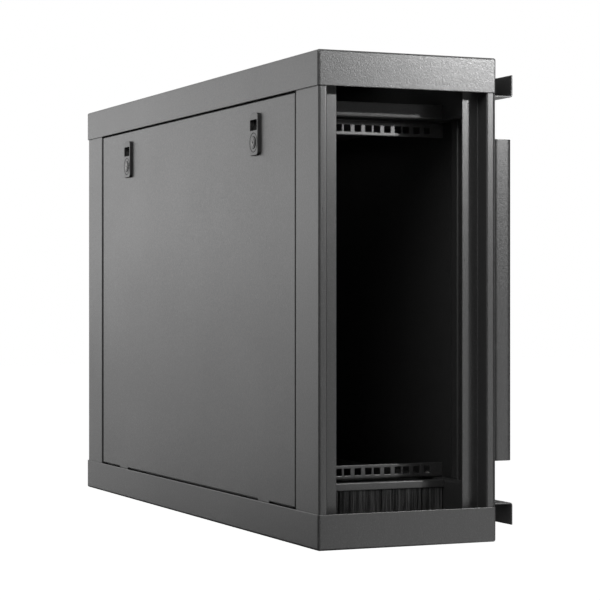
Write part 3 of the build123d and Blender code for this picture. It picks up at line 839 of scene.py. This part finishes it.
def keyhole_cutter(name, middle, radius):
    """A round hole with a slot through it, as one closed mesh."""
    work = bmesh.new()
    steps = 40
    outline = []
    half = KEY_SLOT_WIDTH / 2
    for step in range(steps):
        angle = math.tau * step / steps
        y, z = radius * math.cos(angle), radius * math.sin(angle)
        if abs(y) < half:
            z = math.copysign(KEY_SLOT_HEIGHT / 2, z)
        outline.append(work.verts.new((-KEYHOLE_DEPTH, y, z)))
    face = work.faces.new(outline)
    pulled = bmesh.ops.extrude_face_region(work, geom=[face])["geom"]
    moved = [g for g in pulled if isinstance(g, bmesh.types.BMVert)]
    bmesh.ops.translate(work, verts=moved, vec=(2 * KEYHOLE_DEPTH, 0, 0))
    bmesh.ops.recalc_face_normals(work, faces=work.faces)
    bmesh.ops.translate(work, verts=work.verts, vec=middle)
    mesh = bpy.data.meshes.new(name)
    work.to_mesh(mesh)
    work.free()
    return mesh


def key_lock(end):
    cylinder = end + "_lock_cylinder"
    low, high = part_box(cylinder)
    middle = Vector((low.x, (low.y + high.y) / 2, (low.z + high.z) / 2))
    radius = (high.y - low.y) / 2
    length = high.x - low.x
    profile = [(radius * share, FACE_STEP * depth) for share, depth in LOCK_FACE]
    profile += [(radius, length), (0.0, length)]
    piece = bpy.data.objects.new(end + "_key_lock", lathe(end + "_key_lock", profile, middle))
    bpy.context.collection.objects.link(piece)
    hole = keyhole_cutter(end + "_keyhole", middle, radius * KEYHOLE)
    cutter = bpy.data.objects.new(end + "_keyhole", hole)
    bpy.context.collection.objects.link(cutter)
    cut = piece.modifiers.new("keyhole", "BOOLEAN")
    cut.object = cutter
    cut.solver = "EXACT"
    evaluated = piece.evaluated_get(bpy.context.evaluated_depsgraph_get())
    finished = bpy.data.meshes.new_from_object(evaluated)
    piece.modifiers.clear()
    piece.data = finished
    bpy.data.objects.remove(cutter)
    finished.materials.clear()
    finished.materials.append(lock_metal)
    finished.shade_smooth()
    finished.set_sharp_from_angle(angle=math.radians(30))
    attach(piece, end + "_lock")
    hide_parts(cylinder)
    print(piece.name, "has", len(finished.polygons), "faces")


def painted_shade_ring(name, end, inner, outer):
    """A thin black bead on the face plate, around the lock: painted shade for a seam."""
    low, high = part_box(end + "_lock_cylinder")
    plate = Vector((low.x + LOCK_PROUD, (low.y + high.y) / 2, (low.z + high.z) / 2))
    step = (outer - inner) / 4
    profile = [
        (inner, SHADE_RING_HEIGHT), (inner, 0.0), (inner + step, -SHADE_RING_HEIGHT), (outer - step, -SHADE_RING_HEIGHT),
        (outer, 0.0), (outer, SHADE_RING_HEIGHT), (inner, SHADE_RING_HEIGHT),
    ]
    mesh = lathe(end + name, profile, plate)
    # Black plastic here is painted shade: the ring darkens the seam as its shade would.
    mesh.materials.append(plastic)
    piece = bpy.data.objects.new(end + name, mesh)
    bpy.context.collection.objects.link(piece)
    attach(piece, "side_panel")


for end in ("front", "rear"):
    key_lock(end)
    for shade_ring, (inner, outer) in PAINTED_SHADE_RINGS.items():
        painted_shade_ring(shade_ring, end, inner, outer)

# %% [markdown]
# The photograph was taken with a long lens from the front left, level with the middle of the cabinet.
# Its horizon and its corner pixels give the lens and the place: the camera stands 2.6 metres off, is
# turned 23.5 degrees to the right and has a field of view of 17 degrees.

# %% Camera
LENS_PIXELS = 2016.0
PICTURE_PIXELS = 600.0
CAMERA_TURN = math.radians(23.5)
CAMERA_PLACE = (-1.3424, -2.8513, 0.0)

lens = bpy.data.cameras.new("long_lens")
lens.sensor_width = 36.0
lens.lens = lens.sensor_width * LENS_PIXELS / PICTURE_PIXELS
camera = bpy.data.objects.new("camera", lens)
camera.location = CAMERA_PLACE
camera.rotation_euler = (math.pi / 2, 0.0, -CAMERA_TURN)
bpy.context.collection.objects.link(camera)
bpy.context.scene.camera = camera
print("lens", round(lens.lens, 1), "mm")

# %% [markdown]
# A black coat shows its shape by what it mirrors, so the studio matters as much as the paint. World and
# floor look white to the eye and in reflections, and they light the cabinet only dimly. The floor lies
# below the hung cabinet. Two black pieces, which only reflections see, are put where a photographer
# has them: a card around the camera and the right side, which draws the dark lines along the folds,
# and a cloth on the floor at the left, which lets the long side fade towards its foot. A third piece,
# the flag, is seen by nothing and only holds light back, so that the key lamp doesn't glare on the top.

# %% World, floor and cards
FLOOR_DROP = 0.45
FLOOR_SIZE = 40.0
WORLD_LIGHT = 0.35
WHITE = (1.0, 1.0, 1.0, 1.0)
FLOOR_GREY = grey(0.74)
CARD_RADIUS, CARD_TOP = 3.4, 3.0
CARD_START, CARD_STOP = 150, 420
CLOTH_CORNERS = (-3.4, -3.4, 0.2, 3.6)
CLOTH_LIFT = 0.01
FLAG_X, FLAG_Y = (-0.30, 0.32), -0.52
FLAG_LOW, FLAG_HIGH = 0.0085, 0.16


def seen_directly(graph):
    """One for what the eye, a reflection or a clear body shows, zero for light that is scattered."""
    path = graph.tree.nodes.new("ShaderNodeLightPath")
    camera_ray, glossy_ray, clear_ray = (
        Wire(graph, path.outputs[name])
        for name in ("Is Camera Ray", "Is Glossy Ray", "Is Transmission Ray")
    )
    return graph.math("MINIMUM", camera_ray + glossy_ray + clear_ray, 1.0)


def stage_mesh(name, points, faces, material):
    """A piece of the studio, which is not part of the cabinet."""
    mesh = bpy.data.meshes.new(name)
    mesh.from_pydata(points, [], faces)
    mesh.materials.append(material)
    made = bpy.data.objects.new(name, mesh)
    bpy.context.collection.objects.link(made)
    return made


def mirrored_only(card):
    """Let only reflections see a piece of the studio."""
    card.visible_camera = False
    card.visible_diffuse = False
    card.visible_shadow = False


def standing_card(name, radius, start, stop, low, high):
    """A black card, bent around the cabinet between two directions in degrees."""
    steps = 16
    turns = [math.radians(start + (stop - start) * i / steps) for i in range(steps + 1)]
    rim = [(radius * math.cos(turn), radius * math.sin(turn)) for turn in turns]
    points = [(x, y, z) for z in (low, high) for x, y in rim]
    count = len(rim)
    faces = [(i, i + 1, count + i + 1, count + i) for i in range(steps)]
    mirrored_only(stage_mesh(name, points, faces, cloth_black))


def key_flag(name, top):
    """A black board above the front edge: the key lamp passes under it and misses the top."""
    low_x, high_x = FLAG_X
    corners = ((low_x, FLAG_LOW), (high_x, FLAG_LOW), (high_x, FLAG_HIGH), (low_x, FLAG_HIGH))
    points = [(x, FLAG_Y, top + rise) for x, rise in corners]
    flag = stage_mesh(name, points, [(0, 1, 2, 3)], cloth_black)
    flag.visible_camera = False
    flag.visible_diffuse = False
    flag.visible_glossy = False


def flat_sheet(name, low_x, low_y, high_x, high_y, z, material):
    """A level sheet, given by two corners and its height."""
    points = [(low_x, low_y, z), (high_x, low_y, z), (high_x, high_y, z), (low_x, high_y, z)]
    return stage_mesh(name, points, [(0, 1, 2, 3)], material)


world = bpy.data.worlds.new("studio")
world.use_nodes = True
bpy.context.scene.world = world
sky = Graph(world.node_tree)
background = world.node_tree.nodes["Background"]
background.inputs["Color"].default_value = WHITE
sky.plug(background.inputs["Strength"], WORLD_LIGHT + seen_directly(sky) * (1 - WORLD_LIGHT))

paper = Finish("pale_floor", Specular_IOR_Level=0.0, Emission_Strength=1.0)
glow = paper.mix(seen_directly(paper), grey(0.0), FLOOR_GREY)
paper.plug(paper.shader.inputs["Emission Color"], glow)
speck = paper.noise(30, detail=3)
pale_floor = paper.done(paper.mix(speck, FLOOR_GREY, grey(0.80)), 0.9)

cloth = Finish("card_cloth", Specular_IOR_Level=0.0)
weave = cloth.noise(300, detail=2)
cloth_black = cloth.done(cloth.mix(weave, grey(0.010), grey(0.020)), 0.9)

half = FLOOR_SIZE / 2
level = cad_box[0].z - FLOOR_DROP
flat_sheet("floor", -half, -half, half, half, level, pale_floor)
standing_card("camera_card", CARD_RADIUS, CARD_START, CARD_STOP, level, CARD_TOP)
mirrored_only(flat_sheet("floor_cloth", *CLOTH_CORNERS, level + CLOTH_LIFT, cloth_black))
key_flag("key_flag", cad_box[1].z)

# %% [markdown]
# Lamps stand where the photograph's highlights and shadows point to. The key is small and hangs close
# to the front at the upper right: being close, it is bright on the top cap and fades down the front,
# and being small, it draws the posts' sharp shadows on the rails. A dim strip low at the right and a
# wide fill at the left lift the lower half. The long side mirrors two dim boxes at the rear left.


# %% Lamps
def soft_box(name, place, target, size, radiance):
    """An area lamp that looks at a target and shines with one radiance."""
    lamp = bpy.data.lights.new(name, "AREA")
    lamp.shape = "RECTANGLE"
    lamp.size, lamp.size_y = size
    lamp.energy = radiance * math.pi * size[0] * size[1]
    box = bpy.data.objects.new(name, lamp)
    box.location = place
    aim = Vector(target) - Vector(place)
    box.rotation_euler = aim.to_track_quat("-Z", "Y").to_euler()
    box.visible_camera = False
    bpy.context.collection.objects.link(box)
    print(name, "radiance", radiance, "energy", round(lamp.energy, 2))


soft_box("key_box", (0.57, -1.45, 0.60), (-0.16, -0.49, 0.30), (0.08, 0.08), 740.0)
soft_box("front_strip", (0.90, -2.20, -0.30), (-0.10, -0.49, 0.00), (0.5, 0.8), 1.8)
soft_box("left_fill", (-1.60, -1.80, 1.40), (-0.16, -0.49, 0.00), (1.2, 1.2), 7.0)
soft_box("rear_left_box", (-0.90, 0.90, 0.35), (-0.29, 0.10, 0.10), (1.0, 0.6), 0.50)
soft_box("rear_left_strip", (-0.70, 1.60, 0.20), (-0.29, 0.20, 0.10), (0.5, 0.6), 0.50)

# %% [markdown]
# The picture is shown as it is, with no film curve.

# %% Finish
bpy.context.scene.view_settings.view_transform = "Standard"
